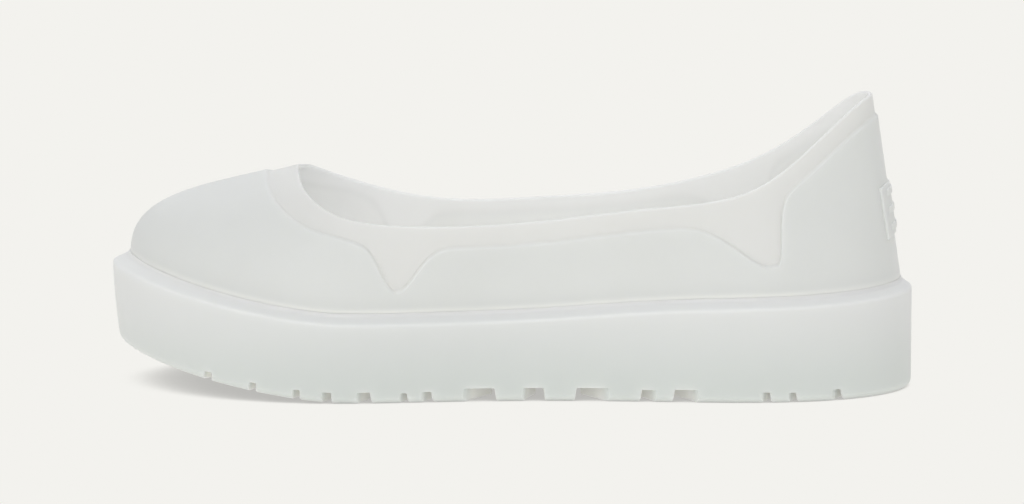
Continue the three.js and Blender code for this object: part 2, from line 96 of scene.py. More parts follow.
# Sections around the last, from the toe tip along the inner side, round the heel and back on the outer
# side. along and across place the sole's edge, and rim_along and rim_across the topline, as shares of
# length and ball width. throat and back are shares of the topline's rise to the instep and to the heel
# tab, lift is the share of the band's rise to the heel, ledge the share of its width, and tuck that of
# the wall's lean at the toe. rise and reach are the lengths of the wall's bends at the ledge and at the
# topline as shares of its chord, lean its tilt inward at the ledge and pitch its tilt below level at the
# topline, in degrees.
COLUMNS = (
    "along", "across", "rim_along", "rim_across", "throat", "back", "lift", "ledge", "tuck",
    "rise", "lean", "reach", "pitch",
)
SECTIONS = {
    "toe tip": (-0.5, 0.07, -0.266, 0.035, 1, 0, 0.195, 1.4, 1, 0.3, 0, 0.5, 15),
    "inner toe": (-0.463, 0.307, -0.262, 0.149, 0.93, 0, 0.16, 1.3, 0.9, 0.3, 0, 0.5, 17),
    "inner toe shoulder": (-0.372, 0.456, -0.251, 0.268, 0.82, 0, 0.083, 1.1, 0.5, 0.32, 2, 0.45, 24),
    "inner ball": (-0.232, 0.5, -0.2, 0.355, 0.45, 0, 0, 1, 0.2, 0.36, 3, 0.4, 48),
    "inner fore waist": (-0.095, 0.447, -0.091, 0.368, 0.04, 0, 0, 1, 0.1, 0.36, 4, 0.33, 74),
    "inner waist": (0.042, 0.346, 0.035, 0.289, 0, 0.048, 0.16, 1, 0.1, 0.33, 5, 0.33, 80),
    "inner heel front": (0.179, 0.311, 0.161, 0.241, 0, 0.13, 0.52, 1, 0, 0.33, 6, 0.33, 80),
    "inner heel": (0.309, 0.333, 0.281, 0.219, 0, 0.318, 0.7, 0.95, 0, 0.33, 7, 0.33, 80),
    "inner heel corner": (0.414, 0.268, 0.365, 0.154, 0, 0.62, 0.82, 0.9, 0, 0.33, 8, 0.33, 80),
    "inner heel back": (0.479, 0.114, 0.427, 0.046, 0, 0.95, 0.94, 0.9, 0, 0.33, 8, 0.33, 81),
    "heel back": (0.5, -0.07, 0.4488, -0.07, 0, 1, 1, 0.9, 0, 0.33, 8.4, 0.33, 81.6),
    "outer heel back": (0.479, -0.254, 0.427, -0.195, 0, 0.93, 0.94, 0.9, 0, 0.33, 8, 0.33, 81),
    "outer heel corner": (0.414, -0.408, 0.365, -0.303, 0, 0.6, 0.82, 0.9, 0, 0.33, 8, 0.33, 80),
    "outer heel": (0.309, -0.478, 0.281, -0.368, 0, 0.26, 0.7, 0.95, 0, 0.33, 7, 0.33, 80),
    "outer heel front": (0.179, -0.461, 0.161, -0.386, 0, 0.15, 0.52, 1, 0, 0.33, 6, 0.33, 80),
    "outer waist": (0.042, -0.443, 0.035, -0.368, 0, 0.048, 0.16, 1, 0.1, 0.33, 5, 0.33, 80),
    "outer fore waist": (-0.095, -0.469, -0.091, -0.39, 0.03, 0, 0, 1, 0.1, 0.36, 4, 0.33, 76),
    "outer ball": (-0.232, -0.5, -0.2, -0.368, 0.17, 0, 0, 1, 0.2, 0.36, 3, 0.4, 58),
    "outer toe shoulder": (-0.372, -0.408, -0.251, -0.263, 0.64, 0, 0.083, 1.1, 0.5, 0.32, 2, 0.45, 28),
    "outer toe": (-0.467, -0.193, -0.263, -0.105, 0.9, 0, 0.163, 1.3, 0.9, 0.3, 0, 0.5, 18),
}

# The ledge from its outer foot over the round corner, up the slanted shelf and through the small fillet to
# its lip at the upper: (inset, drop) as shares of its width and of its drop below the crease
LEDGE_PROFILE = (
    (0, 1), (0, 0.82), (0.02, 0.71), (0.08, 0.63), (0.18, 0.57), (0.36, 0.48), (0.55, 0.38),
    (0.7, 0.3), (0.81, 0.22), (0.88, 0.13), (0.93, 0.05), (0.965, 0.0), (1, 0.01),
)

# Flex notches where the thin collar strip dips between the raised panels, on both sides of the foot: along
# and the runs to the toe and to the heel are shares of length, depth is in millimetres
NOTCH_COLUMNS = ("along", "front_run", "back_run", "depth")
NOTCHES = {
    "ball notch": (-0.131, 0.026, 0.028, 15.6),
    "heel notch": (0.302, 0.05, 0.017, 20.5),
}

# Grooves across the tread: along is the place of each as a share of length, edge and middle are the gaps
# between the lugs at the edge and at the middle of the sole, depth is the share of the lugs' depth, and
# turn how strongly the groove turns to the heel on its way in from the outer edge
GROOVE_COLUMNS = ("along", "edge", "middle", "depth", "turn")
GROOVES = (
    (-0.383, 3.6, 3, 0.65, 1),
    (-0.318, 3, 3, 0.7, 1),
    (-0.259, 3, 3, 0.75, 1),
    (-0.22, 3.6, 3, 0.8, 1),
    (-0.174, 5, 3.4, 0.85, 1),
    (-0.128, 2.8, 2.8, 0.75, 1),
    (-0.101, 3.6, 3, 0.8, 1),
    (-0.039, 11.4, 5, 1, 1),
    (0.027, 8.2, 4, 1, 0.4),
    (0.101, 12.4, 5, 1, -1),
    (0.168, 5.4, 3.4, 0.9, -1),
    (0.212, 8.6, 4, 0.95, -1),
    (0.314, 3.2, 3, 0.8, 1),
    (0.345, 2.8, 2.8, 0.75, 1),
    (0.394, 2.8, 2.8, 0.85, 1),
)

# The zigzag of each groove: across is a share of ball width, shift a share of the zigzag's depth towards the
# heel, and flare how far the gap has opened from its middle width to its edge width
BEND_COLUMNS = ("across", "shift", "flare")
ZIGZAG_BENDS = (
    (-0.62, -1, 1), (-0.46, 0, 1), (-0.3, 1, 0), (-0.1, 0, 0),
    (0.1, 1, 0), (0.3, 0, 0), (0.46, 1, 1), (0.62, 2, 1),
)

# Troughs and swells of the soft wall: along, across and height as shares of the length, of the ball width
# and of the instep height, run and rise the reach of each as shares of length and instep height, out in
# millimetres. Across the shoe each reaches as far as its run in shares of the ball width, times the
# roundness.
SWELL_ROUNDNESS = 2
SWELL_COLUMNS = ("along", "across", "height", "run", "rise", "out")
SWELLS = {
    "ball, outer side": (-0.2, -0.5, 0.62, 0.09, 0.25, 0.5),
    "ball, inner side": (-0.2, 0.5, 0.62, 0.09, 0.25, 0.5),
    "flex trough, outer side": (-0.12, -0.45, 0.72, 0.03, 0.3, -0.35),
    "flex trough, inner side": (-0.12, 0.45, 0.72, 0.03, 0.3, -0.35),
    "waist, outer side": (0.06, -0.42, 0.66, 0.08, 0.22, -0.4),
    "heel trough, outer side": (0.29, -0.45, 0.8, 0.035, 0.3, -0.3),
    "heel trough, inner side": (0.29, 0.3, 0.8, 0.035, 0.3, -0.3),
}

# Colours of the rubber: of the upper's wall and its thin strip, which is painted lighter and warmer as light
# that comes through it; of the sole's band, lighter than the wall partly as painted light against the
# shade near the floor; of its tread near the floor, darker and greener, the darkening painted shade; and a
# painted glow for places that light comes through from the other side. The tread's colour turns into the
# band's over a rise in metres, the panels' edges show inside the upper by a painted shade, and clouds vary
# all colours between two tones.
WALL_COLOUR = (0.722, 0.732, 0.72)
STRIP_GLOW_COLOUR = (0.73, 0.73, 0.713)
BAND_COLOUR = (0.785, 0.792, 0.784)
LOW_SHADE_COLOUR = (0.68, 0.71, 0.69)
PAINTED_GLOW_COLOUR = (0.945, 0.945, 0.905)
COLOUR_RISE = 0.038
PAINTED_STEP_SHADE = 0.04
CLOUD_TONES = (0.975, 1.02)

# How far light scatters in the rubber, in metres
OUTER_SCATTER = 0.004
CREASE_SCATTER = 0.001
UPPER_INNER_SCATTER = 0.02
SOLE_INNER_SCATTER = 0.002

# Glow and scatter is the share that a place has of the bright colour, a painted glow that stands in for
# light coming through the rubber from the other side, and of the inner scatter. It is 1 inside the toe and
# the cup, dimmed inside the collar between two shares of length and from there back, and in the grooves
# it grows to a share of its own. The crease's scatter fades over a reach in millimetres, and its glow,
# painted light against the shade in the crease, which is colour alone, falls faster, by a power of that.
CREASE_REACH = 3
CREASE_GLOW = 0.7
CREASE_GLOW_FALL = 6
GROOVE_GLOW_AND_SCATTER = 0.85
COLLAR_DIMMING = 0.55
DIMMING_START = -0.2
DIMMING_FULL = -0.08

# Patterns in the rubber: clouds in its colour, patches in its gloss that vary its roughness between two
# values, and the mould's grain and slow waves in its surface, as bumps with a strength and a depth in
# metres
PATTERN_COLUMNS = ("Scale", "Detail", "Roughness")
PATTERNS = {
    "clouds": (22, 3, 0.45),
    "patches": (60, 4, 0.6),
    "grain": (1400, 2, 0.5),
    "waves": (38, 2, 0.4),
}
BUMPS = {"grain": (0.35, 0.00003), "waves": (0.5, 0.0006)}
ROUGHNESS = (0.34, 0.48)

# The same all over the rubber
RUBBER_SHADER = {
    "Subsurface Weight": 1.0,
    "Subsurface Radius": (1.0, 1.0, 0.95),
    "IOR": 1.42,
    "Specular IOR Level": 0.3,
    "Coat Weight": 0.12,
    "Coat Roughness": 0.22,
    "Coat IOR": 1.4,
}

# The studio: the floor's brightness falls from 1, where at least the open share of the sky shows within a
# distance in metres, to its contact shade, and the sky is brighter above, before and behind the shoe than
# at its ends
FLOOR_COLOUR = (0.896, 0.888, 0.855)
FLOOR_REACH = 12
SHADE_DISTANCE = 0.07
SHADE_SAMPLES = 12
SHADE_OPEN = 0.5
CONTACT_SHADE = 0.54
SKY_COLOUR = (0.98, 0.99, 1.0)
SKY_ABOVE = 0.8
SKY_AT_ENDS = 0.5

# Lamps: strength, the light's spread and the lamp's turn in degrees, and whether it gives more than gloss
LAMP_COLUMNS = ("strength", "spread", "turn", "diffuse")
LAMPS = {
    "key_light": (0.7, 50, (62, 0, -12), True),
    "top_light": (0.16, 100, (0, 0, 0), True),
    "back_light": (0.26, 60, (-50, 0, 0), True),
    "edge_light": (0.34, 8, (30, 0, 0), False),
}

# The camera looks at the middle of the shoe, from the outer side and a little above. Its distance and
# target are in metres, its lens and sensor in millimetres.
CAMERA_DISTANCE = 1.8
CAMERA_ELEVATION = math.radians(7.4)
CAMERA_TARGET = (0.00036, 0, 0.046)
CAMERA_LENS = 177.2
CAMERA_SENSOR = 36

# Mesh steps: rows, steps, divisions and passes are counts, and the cutters' lengths are in millimetres
STEPS_PER_SECTION = 30
SMOOTHING_PASSES = 40
DERIVATIVE_STEP = 0.01
LINE_DIVISIONS = 80
PROFILE_DIVISIONS = 12
FOOT_ROWS = 4
PANEL_ROWS = 32
EDGE_ROWS = 7
STRIP_ROWS = 9
RIM_ROWS = 8
ROUND_ROWS = 6
SIDE_ROWS = 9
LEDGE_ROWS = 26
FILLET_ROWS = 5
CROSS_STEPS = 12
PAD_STEPS = 96
CUTTER_REACH = 8
CUTTER_SPACING = 0.7
CUTTER_LEAST_HALF = 0.1
SLOPE_SPACING = 1
SHARP_ANGLE = math.radians(38)

TURNS = len(SECTIONS) * STEPS_PER_SECTION
U = np.arange(TURNS) / STEPS_PER_SECTION
UP = np.array([0.0, 0.0, 1.0])


def rows_of(columns, rows):
    """The rows of a table with their values by column name."""
    return [dict(zip(columns, row)) for row in rows]


def smoothstep(value, low, high):
    share = np.clip((value - low) / (high - low), 0, 1)
    return share * share * (3 - 2 * share)


def unit(vectors):
    return vectors / np.linalg.norm(vectors, axis=-1, keepdims=True)


def smooth_column(wanted):
    """Control values of the smooth closed curve that passes through one column of the sections."""
    control = wanted.copy()
    for _ in range(SMOOTHING_PASSES):
        reached = (np.roll(control, 1) + 4 * control + np.roll(control, -1)) / 6
        control = control + wanted - reached
    return control


TABLE = np.array(list(SECTIONS.values()), dtype=float)
CONTROL = {name: smooth_column(TABLE[:, i]) for i, name in enumerate(COLUMNS)}


def value_at(column, u):
    """The value of a column at places around the last, where section number k lies at u = k."""
    control = CONTROL[column]
    first = np.floor(u).astype(int)
    t = u - first
    at = lambda step: control[(first + step) % len(control)]
    before = (1 - t) ** 3
    here = 3 * t**3 - 6 * t**2 + 4
    following = -3 * t**3 + 3 * t**2 + 3 * t + 1
    return (before * at(-1) + here * at(0) + following * at(1) + t**3 * at(2)) / 6


def spring_at(x):
    """How far the toe spring lifts the sole off the floor."""
    start = SPRING_LENGTH - LENGTH / 2
    return TOE_SPRING * (np.maximum(0, start - x) / SPRING_LENGTH) ** SPRING_CURVE


def edge_point(u):
    return np.stack([value_at("along", u) * LENGTH, value_at("across", u) * BALL_WIDTH, 0 * u], axis=-1)


def edge_normal(u):
    """Level direction out of the sole's edge."""
    tangent = edge_point(u + DERIVATIVE_STEP) - edge_point(u - DERIVATIVE_STEP)
    return unit(np.stack([-tangent[..., 1], tangent[..., 0], 0 * u], axis=-1))


def inset_point(u, inset):
    return edge_point(u) - np.broadcast_to(inset, u.shape)[..., None] * edge_normal(u)


def at_height(points, height):
    raised = points.copy()
    raised[..., 2] = height
    return raised


def ledge_at(u):
    return LEDGE_WIDTH * value_at("ledge", u)


def crease_height(u, x):
    return spring_at(x) + BAND_HEIGHT + value_at("lift", u) * (BAND_HEIGHT_AT_HEEL - BAND_HEIGHT)


def floor_height(x):
    return spring_at(x) + LUG_DEPTH + SOLE_BASE


def rim_point(u):
    x = value_at("rim_along", u) * LENGTH
    y = value_at("rim_across", u) * BALL_WIDTH
    z = (
        COLLAR_LOW_HEIGHT
        + value_at("throat", u) * (INSTEP_HEIGHT - COLLAR_LOW_HEIGHT)
        + value_at("back", u) * (HEEL_TAB_HEIGHT - COLLAR_LOW_HEIGHT)
    )
    return np.stack([x, y, z], axis=-1)


def foot_point(u):
    """Where the upper's skin meets the crease, behind the raised panels."""
    foot = inset_point(u, ledge_at(u) + PANEL_RAISE)
    return at_height(foot, crease_height(u, foot[..., 0]))


def wall_bends(u):
    """The four points that bend the skin's line from the crease to the topline."""
    foot = foot_point(u)
    rim = rim_point(u)
    chord = np.linalg.norm(rim - foot, axis=-1, keepdims=True)
    outward = unit(at_height(foot - rim, 0))
    lean = np.radians(value_at("lean", u))[..., None]
    pitch = np.radians(value_at("pitch", u))[..., None]
    leaving = UP * np.cos(lean) - outward * np.sin(lean)
    arriving = outward * np.cos(pitch) - UP * np.sin(pitch)
    low = foot + leaving * value_at("rise", u)[..., None] * chord
    high = rim + arriving * value_at("reach", u)[..., None] * chord
    return foot, low, high, rim


def along_bends(bends, t):
    """Points and directions of the skin's lines at t, one row of values for each line."""
    a, b, c, d = (bend[:, None, :] for bend in bends)
    t = t[..., None]
    s = 1 - t
    point = s**3 * a + 3 * s**2 * t * b + 3 * s * t**2 * c + t**3 * d
    direction = s**2 * (b - a) + 2 * s * t * (c - b) + t**2 * (d - c)
    return point, unit(direction)


def lengths_along(bends):
    steps = np.linspace(0, 1, LINE_DIVISIONS + 1)
    points, _ = along_bends(bends, np.tile(steps, (len(bends[0]), 1)))
    pieces = np.linalg.norm(np.diff(points, axis=1), axis=-1)
    return steps, np.concatenate([np.zeros((len(points), 1)), np.cumsum(pieces, axis=1)], axis=1)


def at_shares(u, share):
    """Points and directions of the skin at shares of each line's length, from the crease up."""
    bends = wall_bends(u)
    steps, reached = lengths_along(bends)
    t = np.array([np.interp(row * total[-1], total, steps) for row, total in zip(share, reached)])
    return along_bends(bends, t)


def skin(u, drop, out):
    """Points that lie a drop below the topline along the skin, moved out of it, in rows for each u."""
    _, reached = lengths_along(wall_bends(u))
    share = np.clip(1 - drop / reached[:, -1:], 0, 1)
    point, direction = at_shares(u, share)
    around = at_shares(u + DERIVATIVE_STEP, share)[0] - at_shares(u - DERIVATIVE_STEP, share)[0]
    normal = unit(np.cross(around, direction))
    return point - out[..., None] * normal


def strip_width(u):
    """Width of the thin strip under the topline, down to the edge of the raised panels."""
    x = value_at("rim_along", u)
    throat = SECTIONS["toe tip"][COLUMNS.index("rim_along")] * LENGTH
    throat_share = 1 - smoothstep(x * LENGTH, throat, throat + THROAT_RUN)
    inner_share = smoothstep(value_at("rim_across", u), 0, INNER_SIDE)
    side_strip = COLLAR_STRIP + inner_share * (INNER_STRIP - COLLAR_STRIP)
    width = side_strip + throat_share * (THROAT_STRIP - side_strip)
    for notch in rows_of(NOTCH_COLUMNS, NOTCHES.values()):
        run = np.where(x < notch["along"], notch["front_run"], notch["back_run"])
        width = width + notch["depth"] * np.exp(-(((x - notch["along"]) / run) ** 2))
    return width


def swell_at(points):
    """How far the soft wall stands out of its even form."""
    out = 0
    for swell in rows_of(SWELL_COLUMNS, SWELLS.values()):
        x = (points[..., 0] / LENGTH - swell["along"]) / swell["run"]
        y = (points[..., 1] / BALL_WIDTH - swell["across"]) / (swell["run"] * SWELL_ROUNDNESS)
        z = (points[..., 2] / INSTEP_HEIGHT - swell["height"]) / swell["rise"]
        out = out + swell["out"] * np.exp(-(x**2 + y**2 + z**2))
    return out


def near_crease(points):
    """1 at the crease between upper and sole, falling to 0 away from it."""
    crease = np.tile(foot_point(U)[:, 2], len(points) // TURNS)
    return np.exp(-(((points[:, 2] - crease) / CREASE_REACH) ** 2))


def ring_quads(ring_count, closed):
    """Faces between neighbouring rings, each ring a closed loop of point numbers."""
    i = np.arange(TURNS)
    following = (i + 1) % TURNS
    quads = []
    for k in range(ring_count if closed else ring_count - 1):
        low = k * TURNS
        high = ((k + 1) % ring_count) * TURNS
        quads.append(np.stack([low + i, high + i, high + following, low + following], axis=1))
    return np.concatenate(quads).tolist()


def mesh_object(name, points, faces, attributes=None):
    """A mesh object at the origin, from points in millimetres."""
    mesh = bpy.data.meshes.new(name)
    mesh.from_pydata((np.asarray(points) * METRES).tolist(), [], faces)
    mesh.validate()
    mesh.shade_smooth()
    for key, values in (attributes or {}).items():
        layer = mesh.attributes.new(key, "FLOAT", "POINT")
        layer.data.foreach_set("value", np.asarray(values, dtype=np.float32))
    piece = bpy.data.objects.new(name, mesh)
    bpy.context.scene.collection.objects.link(piece)
    return piece


def combine(piece, others, operation):
    """Joins the other solids to the piece or cuts them from it, and removes them."""
    for other in others:
        change = piece.modifiers.new(operation, "BOOLEAN")
        change.operation = operation
        change.solver = "MANIFOLD"
        change.object = other
    bpy.context.view_layer.update()
    shaped = piece.evaluated_get(bpy.context.evaluated_depsgraph_get())
    mesh = bpy.data.meshes.new_from_object(shaped)
    piece.modifiers.clear()
    old = piece.data
    piece.data = mesh
    mesh.name = piece.name
    bpy.data.meshes.remove(old)
    for other in others:
        bpy.data.objects.remove(other)


def panel_rows(length, strip):
    """Drops and heights of the outer wall, from just above the crease to the topline."""
    edge = strip + PANEL_EDGE_RUN
    rows = []
    for share in np.linspace(1, 0, PANEL_ROWS + 1)[1:]:
        rows.append((edge + share * (length - edge), PANEL_RAISE))
    for share in np.linspace(0, 1, EDGE_ROWS + 1)[1:]:
        rows.append((edge - share * PANEL_EDGE_RUN, PANEL_RAISE * (1 - smoothstep(share, 0, 1))))
    half = SKIN_WALL / 2
    for share in np.linspace(0, 1, STRIP_ROWS + 1)[1:]:
        rows.append((strip + share * (half - strip), 0))
    return rows


def upper_shell():
    """The hollow shell: its foot in the cup, the raised panels, the strip, the round rim and the inside."""
    _, reached = lengths_along(wall_bends(U))
    length = reached[:, -1]
    strip = strip_width(U) - PANEL_EDGE_LEAD
    half = SKIN_WALL / 2
    outer = panel_rows(length, strip)
    rim = []
    for turn in np.linspace(0, math.pi, RIM_ROWS + 1)[1:-1]:
        rim.append((half - half * math.sin(turn) + 0 * U, half * math.cos(turn) - half))
    inner = [(drop, -SKIN_WALL) for drop, _ in reversed(outer)]
    rows = outer + rim + inner
    drop = np.stack([row[0] for row in rows], axis=1)
    out = np.stack([row[1] + 0 * U for row in rows], axis=1)
    still = skin(U, drop, 0 * out)
    out = out + swell_at(still)
    wall = skin(U, drop, out)

    edge_distance = drop - (strip + PANEL_EDGE_RUN / 2)[:, None]
    # Where the strip is thin the shader paints it lighter and warmer, as light that comes through it
    thin = 1 - smoothstep(edge_distance, -PANEL_EDGE_RUN / 2, PANEL_EDGE_RUN / 2)
    inside = np.zeros(len(rows))
    inside[len(outer) + len(rim) // 2:] = 1
    # Painted shade inside along the panels' edges, where the step bends the light coming through
    step_shade = np.exp(-((edge_distance / PANEL_EDGE_RUN) ** 2)) * inside

    crease = foot_point(U)[:, 2]
    floor = lambda points: floor_height(points[:, 0]) + FLOOR_FILLET + FIT_GAP

    def foot_rows(inset, shares):
        level = inset_point(U, ledge_at(U) + inset)
        return [at_height(level, floor(level) + share * (crease - floor(level))) for share in shares]

    climb = np.linspace(0, 1, FOOT_ROWS)
    low = foot_rows(0, climb)
    back = foot_rows(PANEL_RAISE + SKIN_WALL, climb[::-1])
    rings = low + [wall[:, k] for k in range(wall.shape[1])] + back
    points = np.concatenate(rings)
    plain = np.zeros((FOOT_ROWS, TURNS))
    within = np.concatenate([np.zeros(FOOT_ROWS), inside, np.ones(FOOT_ROWS)])
    # The painted glow inside, dimmed in the collar; the same share sets the inner scatter
    glow_and_scatter = 1 - COLLAR_DIMMING * smoothstep(value_at("rim_along", U), DIMMING_START, DIMMING_FULL)
    attributes = {
        "thin": np.concatenate([plain, thin.T, plain]).ravel(),
        "step_shade": np.concatenate([plain, step_shade.T, plain]).ravel(),
        "inside": np.outer(within, glow_and_scatter).ravel(),
        "crease": near_crease(points) * np.repeat(1 - within, TURNS),
    }
    return mesh_object("upper_shell", points, ring_quads(len(rings), True), attributes)


def rounded(distance, radius):
    """Height share of a rounded edge at a distance inside it."""
    share = np.clip(distance / radius, 0, 1)
    return np.sqrt(1 - (1 - share) ** 2)


def heel_pad():
    """The grip pad on the spine: one closed block that follows the wall, with round edges and bars."""
    middle = float(list(SECTIONS).index("heel back"))
    ends = rim_point(np.array([middle - 0.5, middle + 0.5]))
    pace = np.linalg.norm(ends[1] - ends[0])
    side = np.linspace(-0.5, 0.5, PAD_STEPS + 1) * PAD_WIDTH
    down = np.linspace(0, 1, PAD_STEPS + 1) * PAD_HEIGHT
    u = middle + side / pace
    drop = np.tile(PAD_DROP + down, (len(u), 1))
    near = PAD_WIDTH / 2 - np.abs(side)
    border = np.minimum(near[:, None], np.minimum(down, PAD_HEIGHT - down)[None, :])
    raise_by = PAD_RAISE * rounded(border, PAD_EDGE)
    pitch = PAD_HEIGHT / GRIP_BARS
    for k in range(GRIP_BARS):
        inside_bar = GRIP_BAR_HEIGHT / 2 - np.abs(down - (k + 0.5) * pitch)
        inside = np.minimum((near - pitch / 2)[:, None], inside_bar[None, :])
        raise_by = raise_by + GRIP_BAR_RAISE * rounded(inside, GRIP_BAR_EDGE)
    top = skin(u, drop, PANEL_RAISE + raise_by)
    root = skin(u, drop, np.full_like(drop, PANEL_RAISE - SKIN_WALL))
    count = PAD_STEPS + 1
    points = np.concatenate([top.reshape(-1, 3), root.reshape(-1, 3)])
    at = np.arange(count * count).reshape(count, count)
    below = at + count * count
    faces = []
    for i in range(PAD_STEPS):
        for j in range(PAD_STEPS):
            faces.append([at[i, j], at[i + 1, j], at[i + 1, j + 1], at[i, j + 1]])
            faces.append([below[i, j], below[i, j + 1], below[i + 1, j + 1], below[i + 1, j]])
    border_loop = [*at[0, :-1], *at[:-1, -1], *at[-1, :0:-1], *at[:0:-1, 0]]
    for a, b in zip(border_loop, border_loop[1:] + border_loop[:1]):
        faces.append([a, b, b + count * count, a + count * count])
    return mesh_object("heel_pad", points, [[int(i) for i in face] for face in faces])


def smooth_profile(points, rows):
    """A smooth line through given profile points, at even steps of its length."""
    points = np.array(points, dtype=float)
    padded = np.concatenate([2 * points[:1] - points[1:2], points, 2 * points[-1:] - points[-2:-1]])
    dense = []
    for k in range(1, len(padded) - 2):
        a, b, c, d = padded[k - 1:k + 3]
        leaving = (c - a) / 2
        bending = a - 2.5 * b + 2 * c - d / 2
        closing = 1.5 * (b - c) + (d - a) / 2
        for t in np.linspace(0, 1, PROFILE_DIVISIONS, endpoint=False):
            dense.append(b + t * leaving + t**2 * bending + t**3 * closing)
    dense.append(points[-1])
    dense = np.array(dense)
    walked = np.concatenate([[0], np.cumsum(np.linalg.norm(np.diff(dense, axis=0), axis=1))])
    stops = np.linspace(0, walked[-1], rows)
    return np.stack([np.interp(stops, walked, dense[:, i]) for i in (0, 1)], axis=1)


def cross_cap(rings_start, points, height_at, faces_up):
    """A closed skin of cross lines over a ring, from its inner side to its outer side."""
    half = TURNS // 2
    lines = []
    added = []
    total = len(points)
    for i in range(half + 1):
        inner = rings_start + i
        outer = rings_start + (TURNS - i) % TURNS
        if inner == outer:
            lines.append([inner] * (CROSS_STEPS + 1))
            continue
        line = [inner]
        for share in np.linspace(0, 1, CROSS_STEPS + 1)[1:-1]:
            point = points[inner] + share * (points[outer] - points[inner])
            point[2] = height_at(point[0])
            line.append(total + len(added))
            added.append(point)
        lines.append(line + [outer])
    faces = []
    for here, there in zip(lines, lines[1:]):
        for j in range(CROSS_STEPS):
            corners = [here[j], here[j + 1], there[j + 1], there[j]]
            face = list(dict.fromkeys(corners))
            faces.append(face if faces_up else face[::-1])
    return np.array(added), faces


def sole_cup():
    """The cup of the sole: side band, ledge, inner wall and floor."""
    tuck = TOE_TUCK * value_at("tuck", U)
    wall = ledge_at(U) - SEAM_GAP
    crease = foot_point(U)[:, 2]
    rings = []

    def add_ring(inset, height_at):
        level = inset_point(U, inset)
        rings.append(at_height(level, height_at(level[:, 0])))

    for turn in np.linspace(0, math.pi / 2, ROUND_ROWS):
        back = EDGE_ROUND * (1 - math.sin(turn))
        lift = EDGE_ROUND * (1 - math.cos(turn))
        add_ring(tuck + back, lambda x: spring_at(x) + lift)
    for share in np.linspace(0, 1, SIDE_ROWS + 1)[1:-1]:
        lean = (1 - share) * (1 - 2 * share * (1 - 2 * TUCK_AT_HALF_HEIGHT))
        foot = lambda x: spring_at(x) + EDGE_ROUND
        add_ring(lean * tuck, lambda x: foot(x) + share * (crease - LEDGE_DROP - foot(x)))
    for inset, drop in smooth_profile(LEDGE_PROFILE, LEDGE_ROWS):
        add_ring(inset * wall, lambda x: crease - drop * LEDGE_DROP)
    outside_rings = len(rings)
    lip = crease - LEDGE_PROFILE[-1][1] * LEDGE_DROP
    for share in np.linspace(0, 1, FOOT_ROWS + 1)[1:]:
        add_ring(wall, lambda x: lip + share * (floor_height(x) + FLOOR_FILLET - lip))
    for turn in np.linspace(0, math.pi / 2, FILLET_ROWS + 1)[1:]:
        ahead = FLOOR_FILLET * (1 - math.cos(turn))
        lift = FLOOR_FILLET * (1 - math.sin(turn))
        add_ring(wall + ahead, lambda x: floor_height(x) + lift)
    points = np.concatenate(rings)
    inside = np.ones(len(points))
    inside[:outside_rings * TURNS] = 0
    crease_share = near_crease(points) * (1 - inside)
    faces = ring_quads(len(rings), False)
    under, under_faces = cross_cap(0, points, spring_at, False)
    points = np.concatenate([points, under])
    plain = np.zeros(len(under))
    inside = np.concatenate([inside, plain])
    crease_share = np.concatenate([crease_share, plain])
    inner, inner_faces = cross_cap((len(rings) - 1) * TURNS, points, floor_height, True)
    points = np.concatenate([points, inner])
    attributes = {
        "inside": np.concatenate([inside, np.ones(len(inner))]),
        "crease": np.concatenate([crease_share, np.zeros(len(inner))]),
    }
    return mesh_object("sole_cup", points, faces + under_faces + inner_faces, attributes)


def side_edges():
    """Plan outline of the sole's two sides, for finding how far inside it a point of a groove lies."""
    points = inset_point(U, TOE_TUCK * value_at("tuck", U))
    half = TURNS // 2
    inner = points[:half + 1]
    outer = points[half:]
    return inner[np.argsort(inner[:, 0])], outer[np.argsort(outer[:, 0])]


def groove_line():
    """The middle line of a groove across the sole, with soft bends: shift, y and how far it has flared."""
    bends = dict(zip(BEND_COLUMNS, np.array(ZIGZAG_BENDS, dtype=float).T))
    across, shift, flare = bends["across"], bends["shift"], bends["flare"]
    y = np.arange(across[0] * BALL_WIDTH, across[-1] * BALL_WIDTH, CUTTER_SPACING)
    kernel = np.ones(2 * int(BEND_ROUND / CUTTER_SPACING) + 1)
    kernel = kernel / kernel.sum()
    soft = lambda values: np.convolve(np.pad(values, len(kernel) // 2, mode="edge"), kernel, mode="valid")
    share = y / BALL_WIDTH
    return ZIGZAG * soft(np.interp(share, across, shift)), y, soft(np.interp(share, across, flare))


